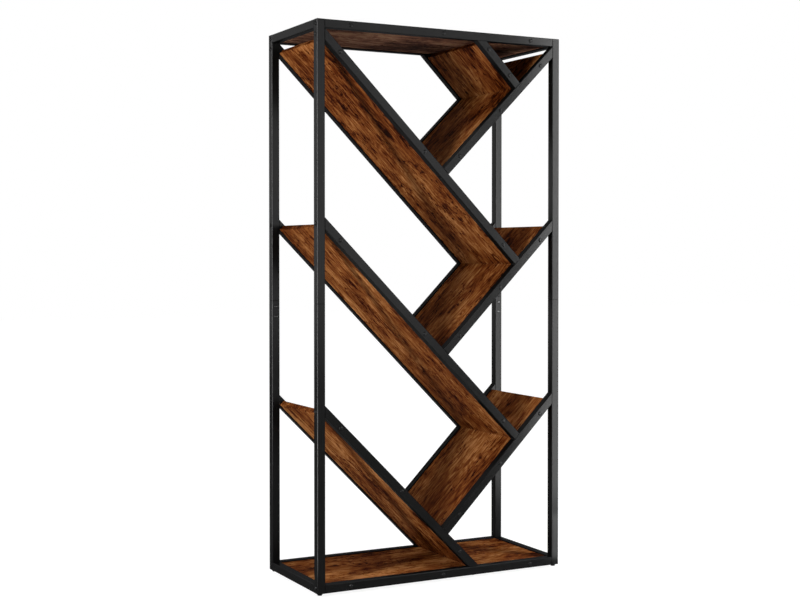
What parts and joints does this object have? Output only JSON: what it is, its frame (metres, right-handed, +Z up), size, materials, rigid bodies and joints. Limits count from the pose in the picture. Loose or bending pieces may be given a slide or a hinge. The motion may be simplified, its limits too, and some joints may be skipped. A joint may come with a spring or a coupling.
{
  "type": "tree bookshelf",
  "caption": "Free-standing open bookcase: black square-tube frame on levelling feet, with slanting boards at 45 degrees that branch like a tree and hold leaning books.",
  "frame": {"origin": "on the floor, under the middle of the frame", "axes": "+Z up, +X to the right seen from the front, front towards -Y"},
  "size_m": [0.705, 0.31, 1.3945],
  "materials": {
    "black_tube": "fine satin black powder coat",
    "rustic_board": "matt rustic brown wood grain with dark knots",
    "black_fastener": "black coated steel",
    "bare_steel": "plain steel",
    "black_plastic": "matt black plastic"
  },
  "bodies": {
    "frame": {"Board_Bolts": "black_fastener", "Bottom_Board": "rustic_board", "Connector_Screws": "black_fastener", "Falling_Bottom_Board": "rustic_board", "Falling_Bottom_Tube_Front": "black_tube", "Falling_Bottom_Tube_Rear": "black_tube", "Falling_Middle_Board": "rustic_board", "Falling_Middle_Tube_Front": "black_tube", "Falling_Middle_Tube_Rear": "black_tube", "Falling_Short_Board": "rustic_board", "Falling_Short_Tube_Front": "black_tube", "Falling_Short_Tube_Rear": "black_tube", "Falling_Top_Board": "rustic_board", "Falling_Top_Tube_Front": "black_tube", "Falling_Top_Tube_Rear": "black_tube", "Foot_Sockets": "black_plastic", "Mitred_End_Plugs": "black_plastic", "Post_Bolts_Left": "black_fastener", "Post_Bolts_Right": "black_fastener", "Post_Connector_Front_Left": "bare_steel", "Post_Connector_Front_Right": "bare_steel", "Post_Connector_Rear_Left": "bare_steel", "Post_Connector_Rear_Right": "bare_steel", "Post_Front_Left_Lower": "black_tube", "Post_Front_Left_Upper": "black_tube", "Post_Front_Right_Lower": "black_tube", "Post_Front_Right_Upper": "black_tube", "Post_Rear_Left_Lower": "black_tube", "Post_Rear_Left_Upper": "black_tube", "Post_Rear_Right_Lower": "black_tube", "Post_Rear_Right_Upper": "black_tube", "Post_Top_Plugs": "black_plastic", "Rail_Front_Bottom": "black_tube", "Rail_Front_Top": "black_tube", "Rail_Rear_Bottom": "black_tube", "Rail_Rear_Top": "black_tube", "Rising_Bottom_Board": "rustic_board", "Rising_Bottom_Tube_Front": "black_tube", "Rising_Bottom_Tube_Rear": "black_tube", "Rising_Middle_Board": "rustic_board", "Rising_Middle_Tube_Front": "black_tube", "Rising_Middle_Tube_Rear": "black_tube", "Rising_Top_Board": "rustic_board", "Rising_Top_Tube_Front": "black_tube", "Rising_Top_Tube_Rear": "black_tube", "Shelf_Joint_Bolts": "black_fastener", "Side_Rail_Left_Bottom": "black_tube", "Side_Rail_Left_Top": "black_tube", "Side_Rail_Right_Bottom": "black_tube", "Side_Rail_Right_Top": "black_tube", "Straight_End_Plugs": "black_plastic", "Top_Board": "rustic_board"},
    "foot_front_left": {"Levelling_Foot_Front_Left": "black_plastic"},
    "foot_front_right": {"Levelling_Foot_Front_Right": "black_plastic"},
    "foot_rear_left": {"Levelling_Foot_Rear_Left": "black_plastic"},
    "foot_rear_right": {"Levelling_Foot_Rear_Right": "black_plastic"}
  },
  "joints": [
    {"name": "foot_front_left_slide", "type": "slide", "parent": "frame", "child": "foot_front_left", "axis": [0, 0, -1], "range_m": [0, 0.006]},
    {"name": "foot_front_right_slide", "type": "slide", "parent": "frame", "child": "foot_front_right", "axis": [0, 0, -1], "range_m": [0, 0.006]},
    {"name": "foot_rear_left_slide", "type": "slide", "parent": "frame", "child": "foot_rear_left", "axis": [0, 0, -1], "range_m": [0, 0.006]},
    {"name": "foot_rear_right_slide", "type": "slide", "parent": "frame", "child": "foot_rear_right", "axis": [0, 0, -1], "range_m": [0, 0.006]}
  ]
}
